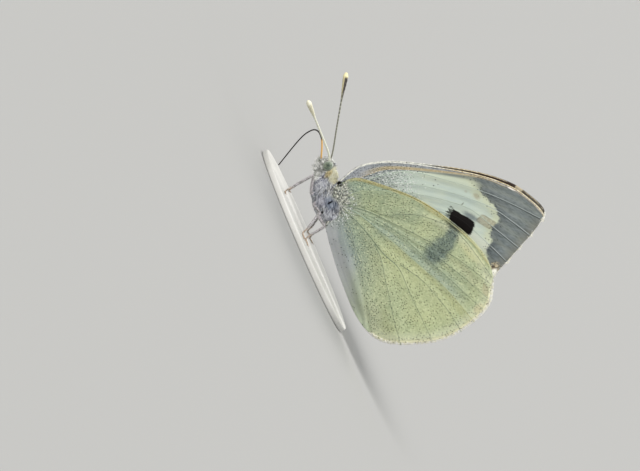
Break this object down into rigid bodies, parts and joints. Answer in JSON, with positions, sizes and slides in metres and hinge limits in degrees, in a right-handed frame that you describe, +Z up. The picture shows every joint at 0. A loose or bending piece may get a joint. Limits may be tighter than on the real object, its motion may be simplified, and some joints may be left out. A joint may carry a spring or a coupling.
{
  "type": "large white butterfly",
  "caption": "Life-size model of a pale butterfly feeding, wings closed over its back and tongue reaching down, standing on a thin oval base.",
  "frame": {"origin": "middle of the oval base's underside, on the surface that the model stands on", "axes": "-Y towards the head, +X to the butterfly's left, +Z up"},
  "size_m": [0.02, 0.0436, 0.036],
  "materials": {
    "base": "matte",
    "fur": "matte",
    "abdomen": "matte",
    "eye": "satin",
    "proboscis": "satin",
    "antenna": "matte",
    "leg": "matte",
    "forewing": "matte",
    "hindwing": "matte"
  },
  "bodies": {
    "root": {"abdomen": "abdomen", "antenna_left": "antenna", "antenna_right": "antenna", "eye_left": "eye", "eye_right": "eye", "foreleg_left": "leg", "foreleg_right": "leg", "forewing_left": "forewing", "forewing_right": "forewing", "head": "fur", "hindleg_left": "leg", "hindleg_right": "leg", "hindwing_left": "hindwing", "hindwing_right": "hindwing", "midleg_left": "leg", "midleg_right": "leg", "palp_left": "fur", "palp_right": "fur", "proboscis": "proboscis", "stand_base": "base", "thorax": "fur"}
  },
  "joints": []
}
